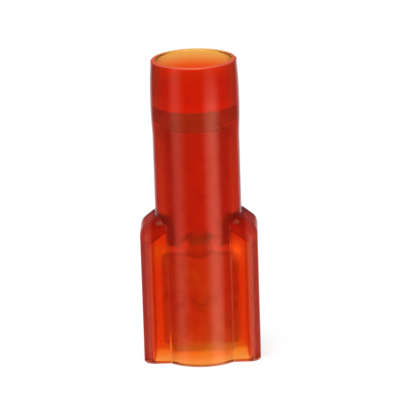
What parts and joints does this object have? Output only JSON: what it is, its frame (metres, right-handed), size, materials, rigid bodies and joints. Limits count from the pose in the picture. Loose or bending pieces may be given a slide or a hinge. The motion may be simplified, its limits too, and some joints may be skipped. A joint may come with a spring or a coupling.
{
  "type": "male spade terminal",
  "caption": "Fully insulated male spade terminal: a flat tab inside a translucent red shroud, with a barrel and grip sleeve that are crimped on the wire.",
  "frame": {"origin": "centre of the mouth's rim, where the terminal stands", "axes": "+Z from the mouth to the wire entry, +X across the tab's width, +Y through its thickness"},
  "size_m": [0.0072, 0.0054, 0.0189],
  "materials": {
    "red_nylon": "translucent moulded nylon, satin",
    "tinned_copper": "tin plate, satin",
    "tinned_brass": "tin plate, satin"
  },
  "bodies": {
    "root": {"housing": "red_nylon", "grip_sleeve": "tinned_copper", "tab_terminal": "tinned_brass"}
  },
  "joints": []
}
